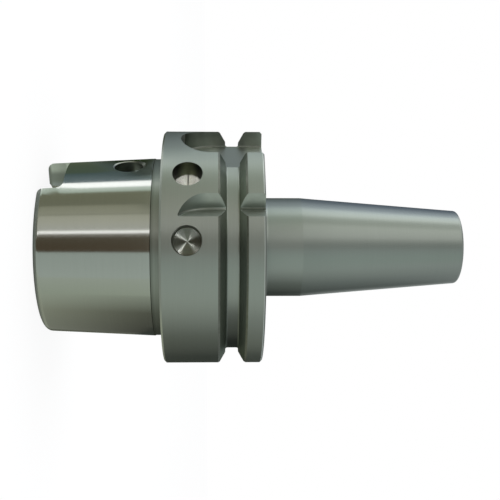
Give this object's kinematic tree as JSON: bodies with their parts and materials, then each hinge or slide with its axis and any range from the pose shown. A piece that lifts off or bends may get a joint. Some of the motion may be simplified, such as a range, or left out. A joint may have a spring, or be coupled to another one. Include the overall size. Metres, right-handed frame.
{
  "type": "shrink fit tool holder",
  "caption": "One-piece steel shrink-fit tool holder with a hollow 1:10 taper shank, a flange with gripper groove and keyways, and a slim tapered nose with a tool bore.",
  "frame": {"origin": "on the holder's axis, in the plane of the flange's contact face, from which the holder's lengths are measured", "axes": "+Z along the axis towards the nose; the keyways and drive slots lie along X, the narrow keyway on -X; the holder stands on the open end of its shank"},
  "size_m": [0.063, 0.063, 0.112],
  "materials": {
    "steel": "ground mirror on the taper, satin turned on the flange and nose"
  },
  "bodies": {
    "root": {"holder_body": "steel"}
  },
  "joints": []
}
